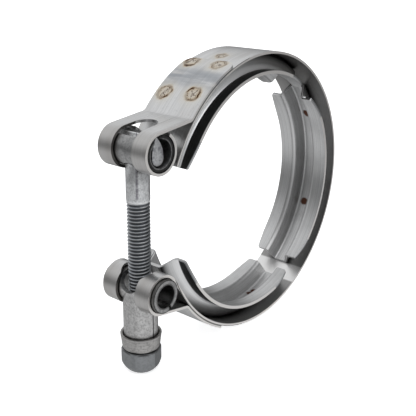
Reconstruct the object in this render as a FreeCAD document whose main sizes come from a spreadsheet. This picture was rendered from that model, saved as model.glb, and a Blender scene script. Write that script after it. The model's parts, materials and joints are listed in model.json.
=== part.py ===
import FreeCAD, Part
import math
import os

import Sketcher

# V band clamp: a slotted band rolled into a ring, with three V retainers welded inside it and
# a T-bolt that pulls its two eyes together.
#
# The ring's centre is the origin and Y is the ring's axis. Z is up, along the bolt.
# The bolt stands at -X. A place on the ring is its angle from +X towards +Z.

# Driving dimensions, in millimetres and degrees, in the order in which the clamp is built.
SIZES = [
    # The band: one flat strip, rolled, slotted and folded back on itself.
    ("band_radius", 53.6),
    ("band_width", 22.0),
    ("strip_thickness", 0.95),
    ("band_end_angle", 157.0),
    ("weld_gap", 0.05),
    ("strap_corner", 4.0),
    # The two eyes that the strips make round the trunnions.
    ("bolt_clearance", 2.75),
    ("upper_eye_height", 26.4),
    ("lower_eye_drop", 23.3),
    ("trunnion_radius", 6.0),
    ("trunnion_room", 0.35),
    ("fold_radius", 2.6),
    ("slot_room", 0.5),
    ("lower_fold_angle", -142.0),
    ("lower_tail_angle", -116.5),
    ("lower_slot_reach", 9.0),
    ("barrel_room", 0.35),
    ("upper_weld_angle", 109.5),
    ("upper_fold_angle", 138.5),
    ("upper_tail_turn", 55.0),
    ("upper_slot_reach", 8.1),
    ("upper_tail_slot_reach", 5.6),
    # The retainers: the V section and the three stretches of the ring that they cover.
    ("retainer_thickness", 1.2),
    ("groove_depth", 6.0),
    ("groove_mouth", 9.6),
    ("lip_overhang", 0.2),
    ("lip_narrowing", 1.7),
    ("lip_taper_length", 12.0),
    ("flange_angle", 20.0),
    ("flange_bend", 0.8),
    ("lip_corner", 0.8),
    ("upper_retainer_end", 55.2),
    ("side_retainer_start", 43.2),
    ("side_retainer_end", -53.2),
    ("lower_retainer_start", -62.2),
    ("lower_retainer_end", -160.5),
    # The trunnions: the rolled tube in the upper eye and the stamped sleeve in the lower one.
    ("tube_inset", 0.2),
    ("tube_wall", 1.25),
    ("tube_seam_start", 82.0),
    ("tube_seam_end", 125.0),
    ("shank_room", 0.3),
    ("sleeve_overhang", 1.35),
    ("sleeve_wall", 1.85),
    ("sleeve_seam_start", -74.0),
    ("sleeve_seam_end", -60.0),
    ("barrel_wall", 1.65),
    ("barrel_bore_room", 0.5),
    ("barrel_drop", 19.95),
    ("barrel_foot_round", 0.8),
    ("barrel_split", 0.4),
    ("mouth_room", 0.2),
    ("mouth_drop", 0.3),
    # The T-bolt.
    ("shank_radius", 4.1),
    ("thread_radius", 4.0),
    ("thread_length", 62.3),
    ("bolt_point", 0.8),
    ("bolt_end_inset", 1.25),
    ("head_inset", 1.5),
    ("head_half_width", 2.7),
    ("head_room", 0.3),
    ("head_rise", 5.5),
    ("head_tip_radius", 0.45),
    ("head_tip_lean", 0.5),
    ("head_edge", 0.35),
    # The collar and the nut.
    ("collar_room", 0.5),
    ("collar_bore_room", 0.3),
    ("collar_rim_wall", 0.75),
    ("collar_taper", 0.6),
    ("collar_foot_round", 0.8),
    ("collar_height", 5.5),
    ("collar_recess_depth", 2.4),
    ("seat_gap", 0.05),
    ("nut_flats", 13.0),
    ("nut_height", 8.5),
    ("nut_turn", 21.8),
    ("nut_corner_inset", 0.31),
    ("nut_face_inset", 0.2),
    ("nut_crown_wall", 0.8),
    ("nut_crown_height", 3.2),
    ("nut_thread_room", 0.06),
]

# Sizes that follow from the driving ones, as formulas on the sheet's aliases.
BOLT_OFFSET = "(Sizes.band_radius + Sizes.bolt_clearance)"
EYE_BORE_RADIUS = "(Sizes.trunnion_radius + Sizes.trunnion_room)"
SLOT_WIDTH = "(2 * (Sizes.shank_radius + Sizes.slot_room))"
BARREL_BORE_RADIUS = "(Sizes.thread_radius + Sizes.barrel_bore_room)"
BARREL_RADIUS = "(" + BARREL_BORE_RADIUS + " + Sizes.barrel_wall)"
TUBE_LENGTH = "(Sizes.band_width - 2 * Sizes.tube_inset)"
SLEEVE_LENGTH = "(Sizes.band_width + 2 * Sizes.sleeve_overhang)"

doc = FreeCAD.newDocument("VBandClamp")
sheet = doc.addObject("Spreadsheet::Sheet", "Sizes")
for row, (alias, number) in enumerate(SIZES, start=1):
    sheet.set("A%d" % row, alias)
    sheet.set("B%d" % row, str(number))
    sheet.setAlias("B%d" % row, alias)
doc.recompute()


def value(formula):
    """The number that a formula on the sheet's aliases gives now."""
    result = sheet.evalExpression(formula)
    return float(getattr(result, "Value", result))


def size(alias):
    return value("Sizes." + alias)


def polar(radius, degrees):
    """The point of the ring's plane at this radius and angle."""
    turn = math.radians(degrees)
    return FreeCAD.Vector(radius * math.cos(turn), radius * math.sin(turn), 0)


def new_body(label):
    body = doc.addObject("PartDesign::Body", label)
    body.Label = label
    return body


def put_on_bolt_axis(body, height_formula):
    """Stand a body that is drawn about its own Z axis on the bolt's axis, at this height."""
    body.setExpression("Placement.Base.x", "-" + BOLT_OFFSET)
    body.setExpression("Placement.Base.z", height_formula)


def new_sketch(body, name, plane_role):
    """A sketch on one of the body's own origin planes."""
    plane = [item for item in body.Origin.OriginFeatures if item.Role == plane_role][0]
    sketch = body.newObject("Sketcher::SketchObject", name)
    sketch.AttachmentSupport = [(plane, "")]
    sketch.MapMode = "FlatFace"
    return sketch


def bind(sketch, kind, references, formula):
    """Add a driving dimension and tie it to the sheet."""
    index = sketch.addConstraint(Sketcher.Constraint(kind, *references, value(formula)))
    if "Sizes." in formula:
        sketch.setExpression("Constraints[%d]" % index, formula)


def draw_circle(sketch, centre, radius):
    """A circle whose centre and radius are formulas."""
    middle = FreeCAD.Vector(value(centre[0]), value(centre[1]), 0)
    circle = Part.Circle(middle, FreeCAD.Vector(0, 0, 1), value(radius))
    index = sketch.addGeometry(circle, False)
    bind(sketch, "DistanceX", (index, 3), centre[0])
    bind(sketch, "DistanceY", (index, 3), centre[1])
    bind(sketch, "Radius", (index,), radius)


def draw_outline(sketch, corners):
    """A closed outline of corners (x, y), both formulas.

    A corner with a third and fourth item starts an arc of that radius to the next corner,
    which turns left (1) or right (-1) and is at most half a circle.
    """
    spots = [FreeCAD.Vector(value(corner[0]), value(corner[1]), 0) for corner in corners]
    count = len(corners)
    ends = []
    for number, corner in enumerate(corners):
        start = spots[number]
        finish = spots[(number + 1) % count]
        if len(corner) == 2:
            index = sketch.addGeometry(Part.LineSegment(start, finish), False)
            ends.append((index, 1, 2))
            continue
        radius = value(corner[2])
        chord = finish - start
        height = math.sqrt(max(radius ** 2 - chord.Length ** 2 / 4, 0))
        left = FreeCAD.Vector(-chord.y, chord.x, 0).normalize() * corner[3]
        centre = (start + finish) * 0.5 + left * height
        first, last = (start, finish) if corner[3] > 0 else (finish, start)
        angles = [math.atan2(spot.y - centre.y, spot.x - centre.x) for spot in (first, last)]
        if angles[1] <= angles[0]:
            angles[1] += 2 * math.pi
        circle = Part.Circle(centre, FreeCAD.Vector(0, 0, 1), radius)
        index = sketch.addGeometry(Part.ArcOfCircle(circle, *angles), False)
        ends.append((index, 1, 2) if corner[3] > 0 else (index, 2, 1))
        if height > 1e-6:
            bind(sketch, "Radius", (index,), corner[2])
            continue
        # Half a circle: its radius is half the chord, so its centre is tied instead.
        kind, axis = ("DistanceX", 0) if abs(chord.y) > abs(chord.x) else ("DistanceY", 1)
        following = corners[(number + 1) % count]
        bind(sketch, kind, (index, 3), "(%s + %s) / 2" % (corner[axis], following[axis]))
    for number, (index, start_end, finish_end) in enumerate(ends):
        following = ends[(number + 1) % count]
        joint = Sketcher.Constraint("Coincident", index, finish_end, following[0], following[1])
        sketch.addConstraint(joint)
        bind(sketch, "DistanceX", (index, start_end), corners[number][0])
        bind(sketch, "DistanceY", (index, start_end), corners[number][1])


def pad(body, name, sketch, length, centred=False, backwards=False):
    feature = body.newObject("PartDesign::Pad", name)
    feature.Profile = sketch
    feature.setExpression("Length", length)
    feature.Midplane = centred
    feature.Reversed = backwards
    doc.recompute()
    return feature


def pocket(body, name, sketch, backwards=False, centred=False):
    """Cut the sketch through everything on one side of its plane, or on both."""
    before = body.Shape.Volume
    feature = body.newObject("PartDesign::Pocket", name)
    feature.Profile = sketch
    feature.Type = 1
    feature.Midplane = centred
    feature.Reversed = backwards
    doc.recompute()
    if body.Shape.Volume > before - 1e-6:
        raise RuntimeError("%s of %s cuts nothing" % (name, body.Label))
    return feature


def revolve(body, name, sketch, axis, angle):
    feature = body.newObject("PartDesign::Revolution", name)
    feature.Profile = sketch
    feature.ReferenceAxis = (sketch, [axis])
    feature.setExpression("Angle", angle)
    doc.recompute()
    return feature


def round_edges(body, name, base, radius, wanted):
    """Fillet each edge of the base feature that the test picks."""
    edges = base.Shape.Edges
    names = ["Edge%d" % (number + 1) for number, edge in enumerate(edges) if wanted(edge)]
    feature = body.newObject("PartDesign::Fillet", name)
    feature.Base = (base, names)
    feature.setExpression("Radius", radius)
    doc.recompute()
    return feature


# The strips: a rectangle swept along the middle line of the bent sheet.

MIDDLE_RADIUS = "(Sizes.band_radius - Sizes.strip_thickness / 2)"
LAPPED_RADIUS = "(Sizes.band_radius + Sizes.weld_gap + Sizes.strip_thickness / 2)"
EYE_MIDDLE_RADIUS = "(" + EYE_BORE_RADIUS + " + Sizes.strip_thickness / 2)"
FOLD_MIDDLE_RADIUS = "(Sizes.fold_radius + Sizes.strip_thickness / 2)"


def tangent_line(centre_a, radius_a, side_a, centre_b, radius_b, side_b):
    """The straight run from circle a to circle b.

    A side is 1 where the circle lies on the left of the run and -1 where it is on the right.
    """
    gap = centre_b - centre_a
    lean = math.acos((side_a * radius_a - side_b * radius_b) / gap.Length)
    turn = math.atan2(gap.y, gap.x) - lean
    right = FreeCAD.Vector(math.cos(turn), math.sin(turn), 0)
    return centre_a + right * (side_a * radius_a), centre_b + right * (side_b * radius_b)


def arc_between(centre, radius, start, finish, side):
    """An arc from start to finish; side 1 runs anticlockwise and -1 clockwise."""
    first, last = (start, finish) if side > 0 else (finish, start)
    angles = [math.atan2(spot.y - centre.y, spot.x - centre.x) for spot in (first, last)]
    if angles[1] <= angles[0]:
        angles[1] += 2 * math.pi
    circle = Part.Circle(centre, FreeCAD.Vector(0, 0, 1), radius)
    return Part.ArcOfCircle(circle, *angles)


def draw_path(sketch, runs):
    """Chain runs (geometry, side) end to end, each tangent to the next."""
    ends = []
    for geometry, side in runs:
        index = sketch.addGeometry(geometry, False)
        ends.append((index, 1, 2) if side > 0 else (index, 2, 1))
    for (index, _, finish), (following, start, _) in zip(ends, ends[1:]):
        sketch.addConstraint(Sketcher.Constraint("Tangent", index, finish, following, start))
    return ends


def sweep_strip(body, path, start_radius, start_angle):
    """Carry the strip's section along the path from the ring angle where the path starts."""
    section = new_sketch(body, "StripSection", "XY_Plane")
    section.AttachmentOffset = FreeCAD.Placement(
        FreeCAD.Vector(0, 0, 0), FreeCAD.Rotation(FreeCAD.Vector(0, 1, 0), -size(start_angle)))
    inside = start_radius + " - Sizes.strip_thickness / 2"
    outside = start_radius + " + Sizes.strip_thickness / 2"
    draw_outline(section, [
        (inside, "-Sizes.band_width / 2"),
        (outside, "-Sizes.band_width / 2"),
        (outside, "Sizes.band_width / 2"),
        (inside, "Sizes.band_width / 2"),
    ])
    doc.recompute()
    strip = body.newObject("PartDesign::AdditivePipe", "Strip")
    strip.Profile = section
    strip.Spine = (path, ["Edge%d" % (number + 1) for number in range(path.GeometryCount)])
    strip.Mode = "Binormal"
    strip.Binormal = FreeCAD.Vector(0, 1, 0)
    doc.recompute()
    return strip


def cut_slot(body, name, reach, height, upwards):
    """Slot the eye's strip above or below a height, from the left to a round end.

    The reach is how far the end lies beyond the bolt's axis, as a formula.
    """
    sketch = new_sketch(body, name + "Sketch", "XY_Plane")
    sketch.AttachmentOffset = FreeCAD.Placement(
        FreeCAD.Vector(0, 0, value(height)), FreeCAD.Rotation())
    half_width = SLOT_WIDTH + " / 2"
    left = "-" + BOLT_OFFSET + " - 2 * " + EYE_BORE_RADIUS
    middle = "-" + BOLT_OFFSET + " + " + reach + " - " + half_width
    draw_outline(sketch, [
        (left, "-" + half_width),
        (middle, "-" + half_width, half_width, 1),
        (middle, half_width),
        (left, half_width),
    ])
    doc.recompute()
    pocket(body, name, sketch, backwards=upwards)


def make_outer_band():
    """The ring's strip, from its upper end clockwise to the lower eye and back under itself."""
    body = new_body("outer_band")
    centre = FreeCAD.Vector(0, 0, 0)
    eye = FreeCAD.Vector(-value(BOLT_OFFSET), -size("lower_eye_drop"), 0)
    ring = value(MIDDLE_RADIUS)
    lapped = value(LAPPED_RADIUS)
    eye_radius = value(EYE_MIDDLE_RADIUS)
    fold_radius = value(FOLD_MIDDLE_RADIUS)
    fold = polar(lapped + fold_radius, size("lower_fold_angle"))

    ring_start = polar(ring, size("band_end_angle"))
    ring_end, eye_start = tangent_line(centre, ring, -1, eye, eye_radius, 1)
    eye_end, fold_start = tangent_line(eye, eye_radius, 1, fold, fold_radius, -1)
    fold_end = polar(lapped, size("lower_fold_angle"))
    tail_end = polar(lapped, size("lower_tail_angle"))

    path = new_sketch(body, "StripPath", "XZ_Plane")
    ends = draw_path(path, [
        (arc_between(centre, ring, ring_start, ring_end, -1), -1),
        (Part.LineSegment(ring_end, eye_start), 1),
        (arc_between(eye, eye_radius, eye_start, eye_end, 1), 1),
        (Part.LineSegment(eye_end, fold_start), 1),
        (arc_between(fold, fold_radius, fold_start, fold_end, -1), -1),
        (arc_between(centre, lapped, fold_end, tail_end, 1), 1),
    ])
    path.addConstraint(Sketcher.Constraint("Coincident", 0, 3, -1, 1))
    path.addConstraint(Sketcher.Constraint("Coincident", 5, 3, -1, 1))
    bind(path, "Radius", (0,), MIDDLE_RADIUS)
    bind(path, "DistanceX", (2, 3), "-" + BOLT_OFFSET)
    bind(path, "DistanceY", (2, 3), "-Sizes.lower_eye_drop")
    bind(path, "Radius", (2,), EYE_MIDDLE_RADIUS)
    bind(path, "Radius", (4,), FOLD_MIDDLE_RADIUS)
    bind(path, "Radius", (5,), LAPPED_RADIUS)
    bind(path, "DistanceX", (0, ends[0][1]), MIDDLE_RADIUS + " * cos(Sizes.band_end_angle)")
    bind(path, "DistanceX", (5, ends[5][1]), LAPPED_RADIUS + " * cos(Sizes.lower_fold_angle)")
    bind(path, "DistanceX", (5, ends[5][2]), LAPPED_RADIUS + " * cos(Sizes.lower_tail_angle)")
    doc.recompute()
    sweep_strip(body, path, MIDDLE_RADIUS, "band_end_angle")
    cut_slot(body, "EyeSlot", "Sizes.lower_slot_reach", "-Sizes.lower_eye_drop", True)
    cut_slot(body, "TailSlot", BARREL_RADIUS, "-Sizes.lower_eye_drop", False)
    hole = new_sketch(body, "BarrelHoleSketch", "XY_Plane")
    draw_circle(hole, ("-" + BOLT_OFFSET, "0"), BARREL_RADIUS + " + Sizes.barrel_room")
    doc.recompute()
    pocket(body, "BarrelHole", hole)
    return body


def make_eye_strap():
    """The short strip welded on the band, which leaves it at a fold and rolls the upper eye."""
    body = new_body("eye_strap")
    centre = FreeCAD.Vector(0, 0, 0)
    eye = FreeCAD.Vector(-value(BOLT_OFFSET), size("upper_eye_height"), 0)
    lapped = value(LAPPED_RADIUS)
    eye_radius = value(EYE_MIDDLE_RADIUS)
    fold_radius = value(FOLD_MIDDLE_RADIUS)
    fold = polar(lapped + fold_radius, size("upper_fold_angle"))

    weld_start = polar(lapped, size("upper_weld_angle"))
    fold_start = polar(lapped, size("upper_fold_angle"))
    fold_end, eye_start = tangent_line(fold, fold_radius, -1, eye, eye_radius, 1)
    tail_end = eye + polar(eye_radius, size("upper_tail_turn"))

    path = new_sketch(body, "StripPath", "XZ_Plane")
    ends = draw_path(path, [
        (arc_between(centre, lapped, weld_start, fold_start, 1), 1),
        (arc_between(fold, fold_radius, fold_start, fold_end, -1), -1),
        (Part.LineSegment(fold_end, eye_start), 1),
        (arc_between(eye, eye_radius, eye_start, tail_end, 1), 1),
    ])
    path.addConstraint(Sketcher.Constraint("Coincident", 0, 3, -1, 1))
    bind(path, "Radius", (0,), LAPPED_RADIUS)
    bind(path, "Radius", (1,), FOLD_MIDDLE_RADIUS)
    bind(path, "DistanceX", (3, 3), "-" + BOLT_OFFSET)
    bind(path, "DistanceY", (3, 3), "Sizes.upper_eye_height")
    bind(path, "Radius", (3,), EYE_MIDDLE_RADIUS)
    bind(path, "DistanceX", (0, ends[0][1]), LAPPED_RADIUS + " * cos(Sizes.upper_weld_angle)")
    bind(path, "DistanceX", (0, ends[0][2]), LAPPED_RADIUS + " * cos(Sizes.upper_fold_angle)")
    bind(path, "DistanceX", (3, ends[3][2]),
         "-" + BOLT_OFFSET + " + " + EYE_MIDDLE_RADIUS + " * cos(Sizes.upper_tail_turn)")
    doc.recompute()
    strip = sweep_strip(body, path, LAPPED_RADIUS, "upper_weld_angle")
    weld_end = size("upper_weld_angle")

    def is_weld_end_corner(edge):
        turns = [math.degrees(math.atan2(v.Z, v.X)) for v in edge.Vertexes]
        sides = [v.Y for v in edge.Vertexes]
        return all(abs(turn - weld_end) < 0.01 for turn in turns) and abs(sides[0] - sides[1]) < 1e-4

    round_edges(body, "WeldEndCorners", strip, "Sizes.strap_corner", is_weld_end_corner)
    cut_slot(body, "EyeSlot", "Sizes.upper_slot_reach", "Sizes.upper_eye_height", True)
    cut_slot(body, "TailSlot", "Sizes.upper_tail_slot_reach", "Sizes.upper_eye_height", False)
    return body


# The retainers: a V section turned about the ring's axis.

BASE_OUTER = "(Sizes.band_radius - Sizes.strip_thickness - Sizes.weld_gap)"
BASE_INNER = "(" + BASE_OUTER + " - Sizes.retainer_thickness)"
LIP_RADIUS = "(" + BASE_INNER + " - Sizes.groove_depth)"
LIP_OUTER = "(" + LIP_RADIUS + " + Sizes.retainer_thickness)"
LIP_EDGE = "(Sizes.band_width / 2 + Sizes.lip_overhang)"
LIP_END_EDGE = "(" + LIP_EDGE + " - Sizes.lip_narrowing)"
GROOVE_FOOT = "(Sizes.groove_mouth / 2 - Sizes.groove_depth * tan(Sizes.flange_angle))"
SHEET_SHIFT = ("(Sizes.retainer_thickness * (1 - sin(Sizes.flange_angle))"
               " / cos(Sizes.flange_angle))")


def taper_lips(body, name, turn, inward):
    """Narrow both lips towards one end, on a plane that faces the ring's axis there.

    The turn is the end's angle from the body's start, and inward is the sign of the sketch
    direction that runs along the retainer.
    """
    sketch = new_sketch(body, name + "Sketch", "YZ_Plane")
    sketch.AttachmentOffset = FreeCAD.Placement(
        FreeCAD.Vector(0, 0, 0), FreeCAD.Rotation(FreeCAD.Vector(1, 0, 0), value(turn)))
    outside = "(" + LIP_EDGE + " + Sizes.retainer_thickness)"
    taper_radius = ("((pow(Sizes.lip_taper_length; 2) + pow(Sizes.lip_narrowing; 2))"
                    " / (2 * Sizes.lip_narrowing))")
    taper_end = "(%d * Sizes.lip_taper_length)" % inward
    beyond = "(%d * Sizes.retainer_thickness)" % -inward
    for side in (1, -1):
        draw_outline(sketch, [
            ("%d * %s" % (side, LIP_END_EDGE), "0", taper_radius, side * inward),
            ("%d * %s" % (side, LIP_EDGE), taper_end),
            ("%d * %s" % (side, outside), taper_end),
            ("%d * %s" % (side, outside), beyond),
            ("%d * %s" % (side, LIP_END_EDGE), beyond),
        ])
    doc.recompute()
    return pocket(body, name, sketch, backwards=True)


def make_retainer(label, start_angle, end_angle):
    """One V retainer, from its highest ring angle clockwise to its lowest."""
    body = new_body(label)
    span = "(Sizes.%s - Sizes.%s)" % (start_angle, end_angle)
    section = new_sketch(body, "VSection", "XY_Plane")
    half = [
        (BASE_INNER, GROOVE_FOOT),
        (LIP_RADIUS, "Sizes.groove_mouth / 2"),
        (LIP_RADIUS, LIP_EDGE),
        (LIP_OUTER, LIP_EDGE),
        (LIP_OUTER, "Sizes.groove_mouth / 2 + " + SHEET_SHIFT),
        (BASE_OUTER, GROOVE_FOOT + " + " + SHEET_SHIFT),
    ]
    mirrored = [(radius, "-(" + axial + ")") for radius, axial in reversed(half)]
    draw_outline(section, half + mirrored)
    doc.recompute()
    revolve(body, "Turned", section, "V_Axis", span)
    taper_lips(body, "StartTaper", "0", -1)
    tapered = taper_lips(body, "EndTaper", span, 1)

    lip_end_edge = value(LIP_END_EDGE)

    def is_lip_corner(edge):
        straight = isinstance(edge.Curve, Part.Line)
        return straight and all(abs(abs(v.Y) - lip_end_edge) < 1e-4 for v in edge.Vertexes)

    rounded = round_edges(body, "LipCorners", tapered, "Sizes.lip_corner", is_lip_corner)

    inner_bends = [(value(BASE_INNER), value(GROOVE_FOOT)),
                   (value(LIP_OUTER), value("Sizes.groove_mouth / 2 + " + SHEET_SHIFT))]
    outer_bends = [(value(BASE_OUTER), value(GROOVE_FOOT + " + " + SHEET_SHIFT)),
                   (value(LIP_RADIUS), value("Sizes.groove_mouth / 2"))]

    def on_bend(edge, bends):
        curve = edge.Curve
        if not isinstance(curve, Part.Circle):
            return False
        return any(abs(curve.Radius - radius) < 1e-3 and abs(abs(curve.Center.y) - axial) < 1e-3
                   for radius, axial in bends)

    inner = round_edges(body, "InnerBends", rounded, "Sizes.flange_bend",
                        lambda edge: on_bend(edge, inner_bends))
    round_edges(body, "OuterBends", inner, "Sizes.flange_bend + Sizes.retainer_thickness",
                lambda edge: on_bend(edge, outer_bends))
    body.Placement = FreeCAD.Placement(
        FreeCAD.Vector(0, 0, 0), FreeCAD.Rotation(FreeCAD.Vector(0, 1, 0), -size(start_angle)))
    return body


def cut_seam(body, name, inner, outer, start, finish):
    """Open a tube along its length between two angles about its axis."""
    sketch = new_sketch(body, name + "Sketch", "XZ_Plane")
    draw_outline(sketch, [
        ("%s * cos(Sizes.%s)" % (inner, start), "%s * sin(Sizes.%s)" % (inner, start)),
        ("%s * cos(Sizes.%s)" % (outer, start), "%s * sin(Sizes.%s)" % (outer, start)),
        ("%s * cos(Sizes.%s)" % (outer, finish), "%s * sin(Sizes.%s)" % (outer, finish)),
        ("%s * cos(Sizes.%s)" % (inner, finish), "%s * sin(Sizes.%s)" % (inner, finish)),
    ])
    doc.recompute()
    pocket(body, name, sketch, centred=True)


def make_trunnion_tube():
    """The rolled tube that turns in the upper eye and holds the bolt's head."""
    body = new_body("trunnion_tube")
    ring = new_sketch(body, "TubeSection", "XZ_Plane")
    draw_circle(ring, ("0", "0"), "Sizes.trunnion_radius")
    draw_circle(ring, ("0", "0"), "Sizes.trunnion_radius - Sizes.tube_wall")
    doc.recompute()
    pad(body, "Tube", ring, TUBE_LENGTH, centred=True)
    cut_seam(body, "Seam", "(Sizes.trunnion_radius - 2 * Sizes.tube_wall)",
             "(Sizes.trunnion_radius + Sizes.tube_wall)", "tube_seam_start", "tube_seam_end")
    hole = new_sketch(body, "ShankHoleSketch", "XY_Plane")
    draw_circle(hole, ("0", "0"), "Sizes.shank_radius + Sizes.shank_room")
    doc.recompute()
    pocket(body, "ShankHole", hole)
    put_on_bolt_axis(body, "Sizes.upper_eye_height")
    return body


# Heights on the bolt's axis, from the ring's middle.
BARREL_FOOT = "(-Sizes.lower_eye_drop - Sizes.barrel_drop)"
COLLAR_FOOT = ("(" + BARREL_FOOT
               + " - Sizes.seat_gap + Sizes.collar_recess_depth - Sizes.collar_height)")
NUT_TOP = "(" + COLLAR_FOOT + " - Sizes.seat_gap)"
BOLT_END = "(" + NUT_TOP + " - Sizes.nut_height + Sizes.bolt_end_inset)"


def make_t_bolt():
    """The T-bolt, drawn from its head: a teardrop cross bar on a shank with a thinner threaded run."""
    body = new_body("t_bolt")
    head = new_sketch(body, "HeadSection", "XZ_Plane")
    head_drop = "(Sizes.trunnion_radius - Sizes.tube_wall - Sizes.head_room)"
    round_middle = "(-" + head_drop + " + Sizes.head_half_width)"
    tip_middle = "(Sizes.head_rise - Sizes.head_tip_radius)"
    tip_left = "(-Sizes.head_tip_lean - Sizes.head_tip_radius)"
    tip_right = "(-Sizes.head_tip_lean + Sizes.head_tip_radius)"
    # A side leaves the round foot upright, so its radius follows from its rise and its run.
    rise = "(" + tip_middle + " - " + round_middle + ")"
    side_radius = "((pow(%s; 2) + pow(%s; 2)) / (2 * %s))"
    left_run = "(Sizes.head_half_width + " + tip_left + ")"
    right_run = "(Sizes.head_half_width - " + tip_right + ")"
    draw_outline(head, [
        ("-Sizes.head_half_width", round_middle, "Sizes.head_half_width", 1),
        ("Sizes.head_half_width", round_middle, side_radius % (right_run, rise, right_run), 1),
        (tip_right, tip_middle, "Sizes.head_tip_radius", 1),
        (tip_left, tip_middle, side_radius % (left_run, rise, left_run), 1),
    ])
    doc.recompute()
    arm = pad(body, "Head", head, "Sizes.band_width - 2 * Sizes.head_inset", centred=True)
    half_length = value("Sizes.band_width / 2 - Sizes.head_inset")
    round_edges(body, "HeadEdges", arm, "Sizes.head_edge",
                lambda edge: all(abs(abs(v.Y) - half_length) < 1e-4 for v in edge.Vertexes))
    shank = new_sketch(body, "ShankSection", "XZ_Plane")
    end = "(" + BOLT_END + " - Sizes.upper_eye_height)"
    thread_start = end + " + Sizes.thread_length"
    draw_outline(shank, [
        ("0", end),
        ("Sizes.thread_radius - Sizes.bolt_point", end),
        ("Sizes.thread_radius", end + " + Sizes.bolt_point"),
        ("Sizes.thread_radius", thread_start),
        ("Sizes.shank_radius", thread_start + " + Sizes.shank_radius - Sizes.thread_radius"),
        ("Sizes.shank_radius", "0"),
        ("0", "0"),
    ])
    doc.recompute()
    revolve(body, "Shank", shank, "V_Axis", "360")
    put_on_bolt_axis(body, "Sizes.upper_eye_height")
    return body


def make_trunnion_sleeve():
    """The stamped T in the lower eye: a cross tube with a barrel that the bolt runs through."""
    body = new_body("trunnion_sleeve")
    cross = new_sketch(body, "CrossSection", "XZ_Plane")
    draw_circle(cross, ("0", "0"), "Sizes.trunnion_radius")
    doc.recompute()
    pad(body, "Cross", cross, SLEEVE_LENGTH, centred=True)
    cut_seam(body, "CrossSeam", "(Sizes.trunnion_radius - 2 * Sizes.sleeve_wall)",
             "(Sizes.trunnion_radius + Sizes.sleeve_wall)", "sleeve_seam_start", "sleeve_seam_end")
    barrel = new_sketch(body, "BarrelSection", "XY_Plane")
    draw_circle(barrel, ("0", "0"), BARREL_RADIUS)
    doc.recompute()
    drop = pad(body, "Barrel", barrel, "Sizes.barrel_drop", backwards=True)
    foot = -size("barrel_drop")
    round_edges(body, "BarrelFoot", drop, "Sizes.barrel_foot_round",
                lambda edge: all(abs(v.Z - foot) < 1e-4 for v in edge.Vertexes))

    inside = new_sketch(body, "CrossBoreSketch", "XZ_Plane")
    draw_circle(inside, ("0", "0"), "Sizes.trunnion_radius - Sizes.sleeve_wall")
    doc.recompute()
    pocket(body, "CrossBore", inside, centred=True)
    bore = new_sketch(body, "BarrelBoreSketch", "XY_Plane")
    draw_circle(bore, ("0", "0"), BARREL_BORE_RADIUS)
    doc.recompute()
    pocket(body, "BarrelBore", bore, centred=True)

    mouth = new_sketch(body, "MouthSketch", "YZ_Plane")
    mouth_radius = "(" + BARREL_BORE_RADIUS + " + Sizes.mouth_room)"
    round_middle = "-Sizes.mouth_drop + " + mouth_radius
    top = "2 * Sizes.trunnion_radius"
    draw_outline(mouth, [
        ("-" + mouth_radius, round_middle, mouth_radius, 1),
        (mouth_radius, round_middle),
        (mouth_radius, top),
        ("-" + mouth_radius, top),
    ])
    doc.recompute()
    pocket(body, "Mouth", mouth, centred=True)

    split = new_sketch(body, "BarrelSplitSketch", "XZ_Plane")
    split_top = "-Sizes.trunnion_radius - Sizes.sleeve_wall"
    split_foot = "-Sizes.barrel_drop - Sizes.sleeve_wall"
    draw_outline(split, [
        ("-Sizes.barrel_split / 2", split_foot),
        ("Sizes.barrel_split / 2", split_foot),
        ("Sizes.barrel_split / 2", split_top),
        ("-Sizes.barrel_split / 2", split_top),
    ])
    doc.recompute()
    pocket(body, "BarrelSplit", split, centred=True)
    put_on_bolt_axis(body, "-Sizes.lower_eye_drop")
    return body


def make_collar():
    """The turned collar that the barrel stands in, drawn from the barrel's foot."""
    body = new_body("collar_cup")
    section = new_sketch(body, "CollarSection", "XZ_Plane")
    bore = "(Sizes.thread_radius + Sizes.collar_bore_room)"
    recess = "(" + BARREL_RADIUS + " + Sizes.collar_room)"
    rim_radius = "(" + recess + " + Sizes.collar_rim_wall)"
    foot_radius = "(" + rim_radius + " - Sizes.collar_taper)"
    floor = "-Sizes.seat_gap"
    rim = floor + " + Sizes.collar_recess_depth"
    foot = rim + " - Sizes.collar_height"
    draw_outline(section, [
        (bore, foot),
        (foot_radius + " - Sizes.collar_foot_round", foot, "Sizes.collar_foot_round", 1),
        (foot_radius, foot + " + Sizes.collar_foot_round"),
        (rim_radius, rim),
        (recess, rim),
        (recess, floor),
        (bore, floor),
    ])
    doc.recompute()
    revolve(body, "Turned", section, "V_Axis", "360")
    put_on_bolt_axis(body, BARREL_FOOT)
    return body


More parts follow.
